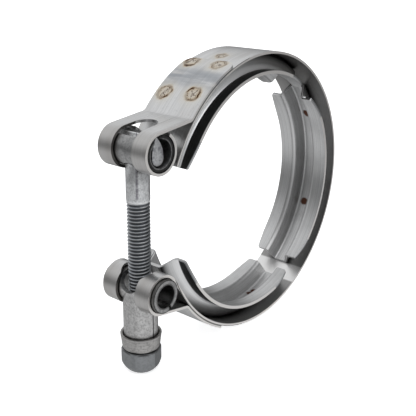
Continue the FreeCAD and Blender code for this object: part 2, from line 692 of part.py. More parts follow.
def make_lock_nut():
    """The hexagon nut with a chamfered seat and a domed crown, drawn from its seat."""
    body = new_body("lock_nut")
    hexagon = new_sketch(body, "Hexagon", "XY_Plane")
    corner_radius = "(Sizes.nut_flats / sqrt(3))"
    corners = []
    for number in range(6):
        turn = "(Sizes.nut_turn + %d)" % (60 * number)
        corners.append((corner_radius + " * cos" + turn, corner_radius + " * sin" + turn))
    draw_outline(hexagon, corners)
    doc.recompute()
    pad(body, "Hex", hexagon, "Sizes.nut_height", backwards=True)

    # The groove's sketch lies outside the shape that turning leaves.
    turning = new_sketch(body, "TurningSketch", "XZ_Plane")
    bore_radius = "(Sizes.thread_radius + Sizes.nut_thread_room)"
    crown_radius = "(" + bore_radius + " + Sizes.nut_crown_wall)"
    crown_top = "(-Sizes.nut_height + Sizes.nut_crown_height)"
    face_radius = "(Sizes.nut_flats / 2 - Sizes.nut_face_inset)"
    worn_radius = "(" + corner_radius + " - Sizes.nut_corner_inset)"
    draw_outline(turning, [
        (face_radius, "0"),
        (worn_radius, "(" + face_radius + " - " + worn_radius + ") * tan(30)"),
        (worn_radius, crown_top, corner_radius, -1),
        (crown_radius, "-Sizes.nut_height"),
        (crown_radius, "-2 * Sizes.nut_height"),
        ("Sizes.nut_flats", "-2 * Sizes.nut_height"),
        ("Sizes.nut_flats", "Sizes.nut_height"),
        (face_radius, "Sizes.nut_height"),
    ])
    doc.recompute()
    before = body.Shape.Volume
    groove = body.newObject("PartDesign::Groove", "Turning")
    groove.Profile = turning
    groove.ReferenceAxis = (turning, ["V_Axis"])
    groove.Angle = 360
    doc.recompute()
    if body.Shape.Volume > before - 1e-6:
        raise RuntimeError("the nut's turning cuts nothing")

    bore = new_sketch(body, "BoreSketch", "XY_Plane")
    draw_circle(bore, ("0", "0"), bore_radius)
    doc.recompute()
    pocket(body, "Bore", bore)
    put_on_bolt_axis(body, NUT_TOP)
    return body


bodies = [
    make_outer_band(),
    make_eye_strap(),
    make_retainer("retainer_upper", "band_end_angle", "upper_retainer_end"),
    make_retainer("retainer_side", "side_retainer_start", "side_retainer_end"),
    make_retainer("retainer_lower", "lower_retainer_start", "lower_retainer_end"),
    make_trunnion_tube(),
    make_t_bolt(),
    make_trunnion_sleeve(),
    make_collar(),
    make_lock_nut(),
]
doc.recompute()

for item in doc.Objects:
    if "Invalid" in item.State or "Error" in item.State:
        raise RuntimeError("%s did not recompute: %s" % (item.Label, item.State))

os.makedirs("parts", exist_ok=True)
for body in bodies:
    shape = body.Shape
    if shape.isNull() or not shape.isValid() or len(shape.Solids) != 1:
        raise RuntimeError("%s is not one valid solid" % body.Label)
    shape.exportStep("parts/%s.step" % body.Label)
    box = shape.BoundBox
    print("%-16s volume %8.1f  x %7.2f %7.2f  y %6.2f %6.2f  z %7.2f %7.2f" % (
        body.Label, shape.Volume, box.XMin, box.XMax, box.YMin, box.YMax, box.ZMin, box.ZMax))
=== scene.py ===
# %% [markdown]
# # A V band clamp, dressed for its photograph
#
# The clamp is a slotted steel band rolled into a ring. Three V retainers line it, and a T-bolt
# with a nut draws its two eyes together. The solids come from the CAD frame at their real size.
# This lesson gives them their finishes. It makes one piece anew, the bolt, because its solid
# leaves the thread plain.

# %% Load the frame
import json
import math

import bmesh
import bpy
import numpy as np
from mathutils import Matrix, Vector


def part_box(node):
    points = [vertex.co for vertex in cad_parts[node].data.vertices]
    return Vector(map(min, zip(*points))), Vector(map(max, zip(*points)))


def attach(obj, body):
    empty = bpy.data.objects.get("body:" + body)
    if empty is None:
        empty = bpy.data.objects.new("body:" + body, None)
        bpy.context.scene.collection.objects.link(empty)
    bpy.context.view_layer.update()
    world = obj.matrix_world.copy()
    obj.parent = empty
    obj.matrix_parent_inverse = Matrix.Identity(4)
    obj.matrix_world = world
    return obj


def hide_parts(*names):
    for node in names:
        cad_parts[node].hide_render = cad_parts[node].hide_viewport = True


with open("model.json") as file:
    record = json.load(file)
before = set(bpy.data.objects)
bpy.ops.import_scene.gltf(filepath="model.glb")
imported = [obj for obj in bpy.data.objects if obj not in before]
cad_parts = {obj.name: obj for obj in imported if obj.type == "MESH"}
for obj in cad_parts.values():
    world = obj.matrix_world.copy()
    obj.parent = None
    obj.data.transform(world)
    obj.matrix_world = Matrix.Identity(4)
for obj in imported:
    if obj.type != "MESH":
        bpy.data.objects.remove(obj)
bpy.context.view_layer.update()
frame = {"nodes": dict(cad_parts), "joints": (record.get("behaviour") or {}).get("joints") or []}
nodes = frame["nodes"]
joints = {joint["name"]: joint for joint in frame["joints"]}
print("nodes:", ", ".join(sorted(nodes)))

# %% [markdown]
# ## The measures that the looks need
#
# Blender works in metres, and so does the frame. A finish or a new piece takes its place from
# the solids' boxes and from the joints' axes, so that it still fits if the solids change. The
# sheets' thicknesses and the groove's depth can't be read from a box, so they are given.

# %% Read the measures from the frame
MM = 0.001
STRIP_THICKNESS = 0.95 * MM
WELD_GAP = 0.05 * MM
RETAINER_THICKNESS = 1.2 * MM
GROOVE_DEPTH = 6.0 * MM
BAND_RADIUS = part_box("outer_band")[1].x
BAND_INSIDE = BAND_RADIUS - STRIP_THICKNESS
BAND_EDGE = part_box("outer_band")[1].y
STRAP_RADIUS = BAND_RADIUS + WELD_GAP + STRIP_THICKNESS
RETAINER_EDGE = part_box("retainer_side")[1].y
BOLT_X, _, UPPER_EYE_Z = joints["bolt_swing"]["pos_m"]
BOLT_FOOT_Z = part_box("t_bolt")[0].z
HEAD_HALF_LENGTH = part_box("t_bolt")[1].y
LOWER_EYE_X, _, LOWER_EYE_Z = joints["sleeve_turn"]["pos_m"]
TUBE_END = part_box("trunnion_tube")[1].y
SLEEVE_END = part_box("trunnion_sleeve")[1].y
NUT_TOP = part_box("lock_nut")[1].z
print("band radius %.2f mm, bolt at x %.2f mm" % (BAND_RADIUS / MM, BOLT_X / MM))

# %% [markdown]
# ## Shader maths as plain formulas
#
# A finish is a formula over the surface: a mask here, a streak there. Wiring each Math node by
# hand hides that formula, so a small class stands for one socket. Python's own operators on it
# add the Math nodes. Every other node comes from one method, which sets the node up first and
# then fills its sockets.


# %% A socket that can be calculated with
class Wire:
    """One output socket. Operators on it add Math nodes to its tree."""

    def __init__(self, wiring, socket):
        self.wiring = wiring
        self.socket = socket

    def math(self, operation, *values):
        return self.wiring.node("ShaderNodeMath", {"operation": operation}, dict(enumerate(values)))

    def __add__(self, other):
        return self.math("ADD", self, other)

    def __sub__(self, other):
        return self.math("SUBTRACT", self, other)

    def __rsub__(self, other):
        return self.math("SUBTRACT", other, self)

    def __mul__(self, other):
        return self.math("MULTIPLY", self, other)

    def __abs__(self):
        return self.math("ABSOLUTE", self)

    __radd__ = __add__
    __rmul__ = __mul__

    def root(self):
        return self.math("SQRT", self)

    def most(self, other):
        return self.math("MAXIMUM", self, other)

    def least(self, other):
        return self.math("MINIMUM", self, other)

    def angle_from(self, across):
        """The angle of the point (across, this)."""
        return self.math("ARCTAN2", self, across)

    def ramp(self, low, high):
        """A smooth step from 0 at low to 1 at high, or the other way when low is above high."""
        settings = {"interpolation_type": "SMOOTHSTEP"}
        if low < high:
            return self.wiring.node("ShaderNodeMapRange", settings, {0: self, 1: low, 2: high})
        return 1 - self.ramp(high, low)


class Wiring:
    """A node tree, and the x, y and z of the coordinates that its patterns read."""

    def __init__(self, tree, coordinates):
        self.tree = tree
        self.place = self.node("ShaderNodeTexCoord", output=coordinates)
        split = self.node("ShaderNodeSeparateXYZ", {}, {0: self.place}).socket.node
        self.x, self.y, self.z = (Wire(self, split.outputs[axis]) for axis in "XYZ")

    def node(self, kind, settings=None, sockets=None, output=0):
        """Add a node of this kind, set it up, fill its sockets and return one of its outputs."""
        made = self.tree.nodes.new(kind)
        for setting, chosen in (settings or {}).items():
            setattr(made, setting, chosen)
        for socket, given in (sockets or {}).items():
            if isinstance(given, Wire):
                self.tree.links.new(given.socket, made.inputs[socket])
            else:
                made.inputs[socket].default_value = given
        return Wire(self, made.outputs[output])


class Finish(Wiring):
    """A material with one Principled shader, whose patterns read Object coordinates."""

    def __init__(self, name, **numbers):
        self.material = bpy.data.materials.new(name)
        self.material.use_nodes = True
        super().__init__(self.material.node_tree, "Object")
        self.shader = self.tree.nodes["Principled BSDF"]
        for socket, number in numbers.items():
            self.shader.inputs[socket.replace("_", " ")].default_value = number

    def noise(self, stretch, detail=2.0, roughness=0.5, shift=(0, 0, 0)):
        """Noise whose grain is 1 / stretch long, in metres, along each axis."""
        moved = self.node("ShaderNodeVectorMath", {"operation": "MULTIPLY_ADD"},
                          {0: self.place, 1: stretch, 2: shift})
        return self.node("ShaderNodeTexNoise", {}, {
            "Vector": moved, "Scale": 1.0, "Detail": detail, "Roughness": roughness})

    def mix(self, share, first, second):
        """The first colour where the share is 0 and the second where it is 1."""
        return self.node("ShaderNodeMix", {"data_type": "RGBA"},
                         {"Factor": share, 6: first, 7: second}, output=2)

    def bump(self, height, distance, strength=1.0, under=None):
        """A bump of this distance in metres, over another bump where one is under it."""
        sockets = {"Height": height, "Strength": strength, "Distance": distance}
        if under is not None:
            sockets["Normal"] = under
        return self.node("ShaderNodeBump", {}, sockets)

    def give(self, colour=None, roughness=None, bump=None):
        """Link what varies to the shader."""
        if colour is not None:
            self.tree.links.new(colour.socket, self.shader.inputs["Base Color"])
        if roughness is not None:
            self.tree.links.new(roughness.socket, self.shader.inputs["Roughness"])
        if bump is not None:
            self.tree.links.new(bump.socket, self.shader.inputs["Normal"])
        return self.material


def grey(level, warmth=0.0):
    """A neutral metal colour, warmer in red and cooler in blue by the warmth."""
    return (level * (1 + warmth), level, level * (1 - warmth), 1.0)


def from_zero(across, up):
    """How far the point (across, up) lies from zero: the root of the two squares added."""
    return (across * across + up * up).root()


def end_face(aside, edge):
    """1 on a sheet's sheared end face, which lies at the edge, and 0 elsewhere."""
    return aside.ramp(edge - 0.06 * MM, edge - 0.02 * MM)


def speckled(finish, colour, level):
    """The colour with dark specks, each under a millimetre wide."""
    specks = finish.noise((1500, 1500, 1500), detail=2.0, shift=(8, 2, 2))
    return finish.mix(specks.ramp(0.60, 0.75) * 0.35, colour, grey(level * 0.55))


# %% [markdown]
# ## Brushed strip
#
# The band and the eye strap are cut from rolled stainless strip, which is brushed along its
# length. The strip always runs in the XZ plane, so its brush lines are a noise that changes fast
# along Y and hardly at all along X and Z. The sheared edges, at the ends of Y, have no brush
# lines, and a painted highlight makes them brighter. Spot welds leave a round dimple with a brown
# rim and a golden halo. Painted shade darkens the eye loops, the slot's cut edges, a band across
# the strip's top and the band's inner face under the retainers.


# %% Spot welds as distances on the ring's surface
def spot_distance(finish, radius, spot, wobble):
    """How far a point lies from the weld's centre: along the ring it is angle times radius,
    across the ring it is Y, and the wobble makes the circle uneven."""
    angle, across, _ = spot
    along = (finish.z.angle_from(finish.x) - math.radians(angle)) * radius
    aside = finish.y - across * MM
    return from_zero(along, aside) + wobble


def weld_marks(finish, colour, radius, spots, hot, halo):
    """Stain the colour with each weld's broken rim, the lines inside it and its halo, and return
    it with the dimples' depth. A line is where a noise crosses its middle value."""
    wobble = (finish.noise((420, 420, 420), detail=3.0) - 0.5) * (2.2 * MM)
    patch = finish.noise((210, 210, 210), detail=2.0, shift=(7, 3, 1)).ramp(0.40, 0.58)
    curls = finish.noise((330, 520, 330), detail=2.0, shift=(5, 1, 9))
    swirl = abs(curls - 0.5).ramp(0.045, 0.012)
    depth = 0.0
    for spot in spots:
        rim_radius = spot[2] * MM
        distance = spot_distance(finish, radius, spot, wobble)
        from_rim = abs(distance - rim_radius)
        rim = from_rim.ramp(0.60 * MM, 0.20 * MM) * (0.30 + 0.70 * patch)
        glow = from_rim.ramp(1.3 * MM, 0.2 * MM) * (0.35 + 0.45 * patch)
        tint = distance.ramp(rim_radius + 4 * MM, rim_radius) * 0.45
        colour = finish.mix(tint, colour, STRAW)
        inside = distance.ramp(rim_radius, 0.8 * rim_radius)
        colour = finish.mix(glow, colour, halo)
        colour = finish.mix(inside * 0.30, colour, halo)
        colour = finish.mix(inside * swirl * 0.75, colour, hot)
        colour = finish.mix(rim, colour, hot)
        depth = distance.ramp(rim_radius, 0.55 * rim_radius) + depth
    return colour, depth


# %% The strip's finish
HEAT_BROWN = (0.050, 0.018, 0.008, 1.0)
HEAT_GOLD = (0.46, 0.33, 0.17, 1.0)
STRAW = (0.62, 0.58, 0.50, 1.0)
DIM_BAND_BLUE = (0.24, 0.26, 0.29, 1.0)
COVERED_SHADE = (0.11, 0.105, 0.10, 1.0)
STRAP_WELDS = [(130.5, 7.0, 2.7), (129.6, -5.2, 2.7), (112.6, 7.2, 2.7), (112.4, -5.0, 2.6)]
BAND_WELDS = [(103.4, 0.6, 1.9)]
SLOT_HALF_WIDTH = 4.6 * MM
# Ring angles in degrees. The band's inner face lies bare round the bare angle, where a painted
# reflection brightens it.
DIM_BAND_ANGLE = 121.5
DIM_BAND_HALF_WIDTH = 8.0
BARE_ANGLE = -57.7
BARE_HALF_WIDTH = 4.5


def strip_finish(name, radius, spots, level=0.62):
    """Satin strip: brush lines along it, smudges, sheared edges with a painted highlight, the line
    between strap and band, and spot welds. Painted shade darkens the eye loops and the slot's cut
    edges, and a painted blue-grey band of shade crosses the strip's top. The band's inner face gets
    painted shade wherever a retainer covers it and a painted reflection where it lies bare."""
    finish = Finish(name, Metallic=1.0)
    lines = finish.noise((18, 2600, 18), detail=4.0)
    smears = finish.noise((60, 240, 60), detail=3.0, shift=(2, 5, 9))
    colour = finish.mix(lines.ramp(0.3, 0.7), grey(level * 0.88), grey(level * 1.06))
    colour = finish.mix(smears.ramp(0.45, 0.75) * 0.6, colour, grey(level * 0.74, 0.03))
    colour = speckled(finish, colour, level)
    # The sheared end faces have no brush lines, and a painted highlight makes them brighter.
    edge = end_face(abs(finish.y), BAND_EDGE)
    colour = finish.mix(edge, colour, grey(level * 1.2, 0.03))
    turn = finish.z.angle_from(finish.x)
    from_middle = from_zero(finish.x, finish.z)
    # Painted shade: the slot's cut edges out in the eye loops are darkened.
    tail = from_middle.ramp(BAND_RADIUS + 2.6 * MM, BAND_RADIUS + 3.2 * MM)
    slot = abs(abs(finish.y) - SLOT_HALF_WIDTH).ramp(0.06 * MM, 0.02 * MM) * tail
    colour = finish.mix(slot, colour, grey(0.10, 0.05))
    # Painted shade on the strap's eye loops, with a slight warm tint.
    loop = finish.x.ramp(BOLT_X + 1.0 * MM, BOLT_X - 5.0 * MM) * (1 - edge)
    colour = finish.mix(loop * 0.55, colour, grey(level * 0.50, 0.05))
    joint = (abs(from_middle - BAND_RADIUS).ramp(0.32 * MM, 0.14 * MM) * edge
             * abs(turn).ramp(math.radians(101), math.radians(103)))
    colour = finish.mix(joint * 0.85, colour, grey(0.03))
    # Painted shade: a blue-grey band across the strip's top, broken up by noise.
    dim_band = abs(turn - math.radians(DIM_BAND_ANGLE)).ramp(
        math.radians(DIM_BAND_HALF_WIDTH), math.radians(1.0))
    band_breakup = finish.noise((300, 60, 300), detail=4.0, shift=(3, 3, 3)).ramp(0.30, 0.62)
    colour = finish.mix(dim_band * band_breakup * 0.70, colour, DIM_BAND_BLUE)
    # A painted reflection brightens the band's inner face where it lies bare. Painted shade darkens
    # it under the retainers, most towards the upper gap.
    inner = from_middle.ramp(BAND_INSIDE + 0.07 * MM, BAND_INSIDE + 0.02 * MM)
    bare = abs(turn - math.radians(BARE_ANGLE)).ramp(
        math.radians(BARE_HALF_WIDTH + 0.5), math.radians(BARE_HALF_WIDTH - 0.5))
    upper = turn.ramp(math.radians(34), math.radians(56))
    colour = finish.mix(inner * bare, colour, grey(level * 1.25, 0.01))
    colour = finish.mix(inner * (1 - bare) * (0.60 + upper * 0.36), colour, COVERED_SHADE)
    colour, depth = weld_marks(finish, colour, radius, spots, HEAT_BROWN, HEAT_GOLD)
    roughness = 0.22 + lines * 0.14 + smears * 0.10 + edge * 0.06
    height = lines * (1 - edge) - depth * 0.9
    return finish.give(colour, roughness, finish.bump(height, 0.06 * MM, 0.4))


# %% [markdown]
# ## Pressed retainers
#
# The V retainers are pressed from sheet, so their streaks run round the ring. They read the
# radius as well as Y, because the flanges lean. Heat marks show inside the groove where the
# retainers were welded to the band.
#
# Where a flange turns into its lip, the real sheet bends more widely than the solid does. A bump
# imitates that: its height rises evenly from the bend's end towards the groove, then levels out.
# Painted shade darkens the flanges' roots and the lips' backs, and painted highlights lie along the
# bends and on the sheared edges.

# %% The retainers' finish
GROOVE_RADIUS = BAND_INSIDE - WELD_GAP - RETAINER_THICKNESS
GROOVE_WELDS = [(26.2, 0.4, 0.8), (25.2, 0.0, 0.7), (-20.6, -0.1, 1.2), (-79.0, 1.2, 0.6),
                (-76.5, 0.5, 0.7), (128.0, 0.4, 0.6)]
BURNT = (0.10, 0.045, 0.03, 1.0)
LIP_SHADE = (0.085, 0.095, 0.105, 1.0)
FLANGE_SLOPE = math.tan(math.radians(20))
LIP_BACK = GROOVE_RADIUS - GROOVE_DEPTH + RETAINER_THICKNESS
LIP_BEND_END = 6.85 * MM
LIP_BEND_FLAT = 0.65 * MM
LIP_BEND_FADE = 0.88 * MM
LIP_BEND_RISE = 1.43


def retainer_finish(name, level=0.54):
    """Pressed sheet with streaks round the ring, from noise over radius and Y. A point lies on
    the sheet's back where Y is beyond the sheet's middle line at its radius."""
    finish = Finish(name, Metallic=1.0)
    radius = from_zero(finish.x, finish.z)
    aside = abs(finish.y)
    spread = finish.node("ShaderNodeCombineXYZ", {}, {
        0: radius * 1500, 1: finish.y * 1500, 2: finish.z * 12})
    streaks = finish.node("ShaderNodeTexNoise", {}, {
        "Vector": spread, "Scale": 1.0, "Detail": 3.0})
    smears = finish.noise((90, 90, 90), detail=3.0, shift=(1, 8, 4))
    colour = finish.mix(streaks.ramp(0.3, 0.7), grey(level * 0.88), grey(level * 1.10))
    colour = finish.mix(smears.ramp(0.4, 0.8) * 0.6, colour, grey(level * 0.74))
    colour = speckled(finish, colour, level)
    wobble = (finish.noise((700, 700, 700), detail=2.0) - 0.5) * (1.0 * MM)
    groove = radius.ramp(GROOVE_RADIUS - 0.6 * MM, GROOVE_RADIUS - 0.2 * MM)
    for spot in GROOVE_WELDS:
        distance = spot_distance(finish, GROOVE_RADIUS, spot, wobble)
        burn = distance.ramp((spot[2] + 0.9) * MM, spot[2] * MM) * groove
        colour = finish.mix(burn, colour, BURNT)
    behind = (aside - (GROOVE_RADIUS - radius) * FLANGE_SLOPE).ramp(3.1 * MM, 3.5 * MM)
    # Painted shade on the flanges' backs near the groove's floor, in the narrow gap against the
    # band.
    root = radius.ramp(GROOVE_RADIUS - 2.4 * MM, GROOVE_RADIUS + 0.6 * MM) * behind
    colour = finish.mix(root * 0.85, colour, grey(0.07))
    outside = behind * radius.ramp(LIP_BACK - 0.7 * MM, LIP_BACK - 0.3 * MM)
    low = radius.ramp(LIP_BACK + 2.2 * MM, LIP_BACK + 0.6 * MM)
    reach = (LIP_BEND_END - aside).most(0.0).least(LIP_BEND_FLAT + LIP_BEND_FADE)
    fade = (reach - LIP_BEND_FLAT).most(0.0)
    bend = (reach - fade * fade * (0.5 / LIP_BEND_FADE)) * outside * LIP_BEND_RISE
    lit = outside * low * aside.ramp(LIP_BEND_END + 0.05 * MM, LIP_BEND_END - 0.1 * MM)
    lip = outside * aside.ramp(LIP_BEND_END - 0.1 * MM, LIP_BEND_END + 0.05 * MM)
    # Painted shade on the lips' backs, and a painted highlight along the bends between flanges and
    # lips.
    colour = finish.mix(lip * 0.60, colour, LIP_SHADE)
    colour = finish.mix(lit * 0.8, colour, grey(0.80))
    # A painted highlight makes the sheared end faces brighter.
    edge = end_face(aside, RETAINER_EDGE)
    colour = finish.mix(edge, colour, grey(level * 1.3, 0.03))
    roughness = 0.25 + streaks * 0.12 + smears * 0.10
    wide_bend = finish.bump(bend, 1.0)
    return finish.give(colour, roughness,
                       finish.bump(streaks * (1 - edge), 0.05 * MM, 0.35, under=wide_bend))


# %% [markdown]
# ## Tumbled and turned steel
#
# The trunnions, the bolt, the collar and the nut are small steel parts that were tumbled or
# turned. Their finish is a grain: fine noise in height, patches in colour. The collar keeps its
# turning lines, which run round the bolt's axis, so they are a noise over height only.


# %% Grainy and turned finishes
def grainy_finish(name, level, patchy, warmth=0.0, speckle=0.5, grain=1400, stains_and_shade=None):
    """Steel with a fine grain and darker patches about a millimetre wide. A last step, where one is
    given, takes the finish and its colour so far, and returns the colour with its own marks: real
    stains, painted shade and painted highlights."""
    finish = Finish(name, Metallic=1.0)
    patches = finish.noise((420, 420, 420), detail=4.0, roughness=0.6)
    fine = finish.noise((grain, grain, grain), detail=3.0, roughness=0.6, shift=(3, 1, 2))
    colour = finish.mix(patches.ramp(0.35, 0.68), grey(level * (1 - patchy), warmth),
                        grey(level * (1 + 0.4 * patchy), warmth))
    colour = finish.mix(fine.ramp(0.46, 0.62) * speckle, colour, grey(level * 0.50, warmth))
    if stains_and_shade is not None:
        colour = stains_and_shade(finish, colour)
    roughness = 0.31 + fine * 0.16
    return finish.give(colour, roughness, finish.bump(patches * 0.4 + fine, 0.09 * MM, 0.5))


def tube_painted_shade(eye_x, eye_z, half_length, ring_shade, rim_radius):
    """Paints shade on a trunnion: on its cut ends, darkest at their rims, in its bore, and in a
    ring where the tube dives into its eyes."""

    def stains_and_shade(finish, colour):
        aside = abs(finish.y)
        from_axis = from_zero(finish.x - eye_x, finish.z - eye_z)
        in_eye = from_axis.ramp(8 * MM, 7 * MM)
        bore = from_axis.ramp(4.8 * MM, 4.5 * MM) * aside.ramp(4.5 * MM, 5.0 * MM)
        ends = aside.ramp(half_length - 0.12 * MM, half_length - 0.04 * MM) * in_eye
        mottle = finish.noise((900, 900, 900), detail=3.0).ramp(0.40, 0.62)
        rim = ends * from_axis.ramp((rim_radius - 0.25) * MM, rim_radius * MM)
        outside = from_axis.ramp(5.6 * MM, 5.8 * MM) * in_eye
        eye_gap_shade = aside.ramp(3.6 * MM, 4.6 * MM) * outside
        colour = finish.mix(ends * (0.45 + 0.4 * mottle), colour, grey(ring_shade))
        colour = finish.mix(rim * 0.9, colour, grey(0.02))
        colour = finish.mix(eye_gap_shade * 0.7, colour, grey(0.04))
        return finish.mix(bore * 0.75, colour, grey(0.06))

    return stains_and_shade


def nut_corner_shade(finish, colour):
    """Painted shade in the corner between the nut's crown and the collar."""
    from_axis = from_zero(finish.x - BOLT_X, finish.y)
    height = finish.z.ramp(NUT_TOP - 1.3 * MM, NUT_TOP - 0.7 * MM)
    crown = height * from_axis.ramp(7.1 * MM, 6.5 * MM)
    return finish.mix(crown * 0.85, colour, grey(0.03))


def turned_finish(name, level, warmth):
    """Steel with turning lines round the bolt's axis: noise that changes with height only."""
    finish = Finish(name, Metallic=1.0)
    lines = finish.noise((110, 110, 2600), detail=3.0)
    patches = finish.noise((380, 380, 900), detail=3.0, shift=(4, 4, 1))
    specks = finish.noise((1300, 1300, 1300), detail=3.0, shift=(2, 7, 1))
    colour = finish.mix(lines.ramp(0.32, 0.68), grey(level * 0.80, warmth),
                        grey(level * 1.08, warmth))
    colour = finish.mix(patches.ramp(0.4, 0.75) * 0.5, colour, grey(level * 0.66, warmth))
    colour = finish.mix(specks.ramp(0.48, 0.66) * 0.6, colour, grey(level * 0.48, warmth))
    return finish.give(colour, 0.34 + lines * 0.14, finish.bump(lines + specks, 0.06 * MM, 0.45))


# %% [markdown]
# ## Dressing the solids
#
# A solid's mesh comes with one material slot, so its finish goes into that slot. The band and
# the strap are the same strip, but their welds lie at different radii, so each has its own copy.

# %% Give each solid its finish
# Painted shade for the two trunnions' ends, bores and eyes.
upper_tube_shade = tube_painted_shade(BOLT_X, UPPER_EYE_Z, TUBE_END, 0.10, 5.3)
lower_tube_shade = tube_painted_shade(LOWER_EYE_X, LOWER_EYE_Z, SLEEVE_END, 0.22, 5.8)
FINISHES = {
    "outer_band": strip_finish("band_steel", BAND_RADIUS, BAND_WELDS),
    "eye_strap": strip_finish("strap_steel", STRAP_RADIUS, STRAP_WELDS),
    "retainer_upper": retainer_finish("retainer_steel"),
    "trunnion_tube": grainy_finish("tube_steel", 0.36, 0.24, stains_and_shade=upper_tube_shade),
    "trunnion_sleeve": grainy_finish("sleeve_steel", 0.52, 0.14, 0.01, 0.6, stains_and_shade=lower_tube_shade),
    "collar_cup": turned_finish("collar_steel", 0.41, 0.025),
    "lock_nut": grainy_finish("nut_steel", 0.25, 0.08, -0.03, 0.2, stains_and_shade=nut_corner_shade),
}
FINISHES["retainer_side"] = FINISHES["retainer_upper"]
FINISHES["retainer_lower"] = FINISHES["retainer_upper"]
for node_name, material in FINISHES.items():
    nodes[node_name].material_slots[0].material = material
print("finished", len(FINISHES), "solids")

# %% [markdown]
# ## Broken edges
#
# No sheared or turned edge is quite sharp, and the thin bright line along it is what shows a
# sheet's thickness. A small bevel modifier on each solid makes that line.

# %% Bevel the solids
BEVELS = {"outer_band": 0.12, "eye_strap": 0.12, "retainer_upper": 0.15, "retainer_side": 0.15,
          "retainer_lower": 0.15, "trunnion_tube": 0.15, "trunnion_sleeve": 0.2,
          "collar_cup": 0.15, "lock_nut": 0.15}
for node_name, width in BEVELS.items():
    bevel = nodes[node_name].modifiers.new("broken edges", "BEVEL")
    bevel.width = width * MM
    bevel.segments = 2
    bevel.limit_method = "ANGLE"
    bevel.angle_limit = math.radians(50)
print("bevelled", len(BEVELS), "solids")

# %% [markdown]
# ## The bolt's thread
#
# The solid bolt is plain where the real one has an M8 thread. A thread is one surface over two
# parameters: the angle round the axis and the height. Its radius depends on where the height
# lies within the pitch, counted from the helix. The grid's rows climb with the helix, so that
# the crests stay crisp, and they are cut level at the two ends.

# %% Helpers for grids
BOLT_SIDES = 96


def grid_mesh(name, points, wrap=False):
    """A mesh from an array of points, rows by columns. Wrapping joins the last column to the
    first. Faces run row to row, so that a tube with rising rows points outwards."""
    rows, columns, _ = points.shape
    number = np.arange(rows * columns).reshape(rows, columns)
    right = np.roll(number, -1, axis=1) if wrap else number[:, 1:]
    left = number if wrap else number[:, :-1]
    quads = np.stack([left[:-1], right[:-1], right[1:], left[1:]], axis=-1).reshape(-1, 4)
    mesh = bpy.data.meshes.new(name)
    mesh.from_pydata(points.reshape(-1, 3).tolist(), [], quads.tolist())
    return mesh


def join_meshes(name, meshes, merge=0.002 * MM):
    """One smooth object from several meshes, with the points that coincide merged."""
    whole = bmesh.new()
    for mesh in meshes:
        whole.from_mesh(mesh)
    bmesh.ops.remove_doubles(whole, verts=whole.verts, dist=merge)
    bmesh.ops.dissolve_degenerate(whole, edges=whole.edges, dist=merge)
    bmesh.ops.recalc_face_normals(whole, faces=whole.faces)
    joined = bpy.data.meshes.new(name)
    whole.to_mesh(joined)
    whole.free()
    joined.shade_smooth()
    made = bpy.data.objects.new(name, joined)
    bpy.context.scene.collection.objects.link(made)
    return made


# %% The shank, the thread and the bolt's end
THREAD_PITCH = 1.25 * MM
THREAD_RADIUS = 4.0 * MM
THREAD_DEPTH = 0.70 * MM
THREAD_LENGTH = 62.3 * MM
SHANK_RADIUS = 4.1 * MM
ROWS_PER_TURN = 10
RUNOUT = 1.2 * THREAD_PITCH
# Shares of the pitch: half of the flat crest, and one side.
HALF_CREST = 1 / 16
SIDE = 5 / 16
POINT_HEIGHT = 0.8 * MM
FLASH_ANGLE = math.radians(-139)
FLASH_HEIGHT = 0.13 * MM
FLASH_HALF_WIDTH = 0.22 * MM

thread_top = BOLT_FOOT_Z + THREAD_LENGTH


def smooth_step(value, low, high):
    """0 below low, 1 above high, and an even S between them."""
    share = np.clip((value - low) / (high - low), 0, 1)
    return share * share * (3 - 2 * share)


def thread_radius(phase):
    """The radius within one pitch: a flat crest an eighth wide, a root a quarter wide, and
    straight sides between them."""
    from_crest = np.abs((phase + 0.5) % 1.0 - 0.5)
    return THREAD_RADIUS - THREAD_DEPTH * np.clip((from_crest - HALF_CREST) / SIDE, 0, 1)


def make_thread():
    """Rows climb one pitch a turn and are clipped to the thread's two ends. The depth fades in
    below the shank, as a rolled thread runs out, and the foot narrows to a point."""
    turn = np.linspace(0, 2 * np.pi, BOLT_SIDES + 1)
    count = int(math.ceil((THREAD_LENGTH / THREAD_PITCH + 1) * ROWS_PER_TURN)) + 1
    level = BOLT_FOOT_Z - THREAD_PITCH + np.arange(count) * THREAD_PITCH / ROWS_PER_TURN
    climb = THREAD_PITCH * turn / (2 * np.pi)
    height = np.clip(level[:, None] + climb[None, :], BOLT_FOOT_Z, thread_top)
    phase = height / THREAD_PITCH - turn[None, :] / (2 * np.pi)
    fade = smooth_step(thread_top - height, 0.0, RUNOUT)
    point = smooth_step(height - BOLT_FOOT_Z, 0.0, POINT_HEIGHT)
    radius = THREAD_RADIUS + (thread_radius(phase) - THREAD_RADIUS) * fade
    radius = radius - (1 - point) * 0.5 * THREAD_DEPTH
    x = BOLT_X + radius * np.cos(turn)
    y = radius * np.sin(turn)
    return grid_mesh("thread", np.stack([x, y, height], axis=-1))


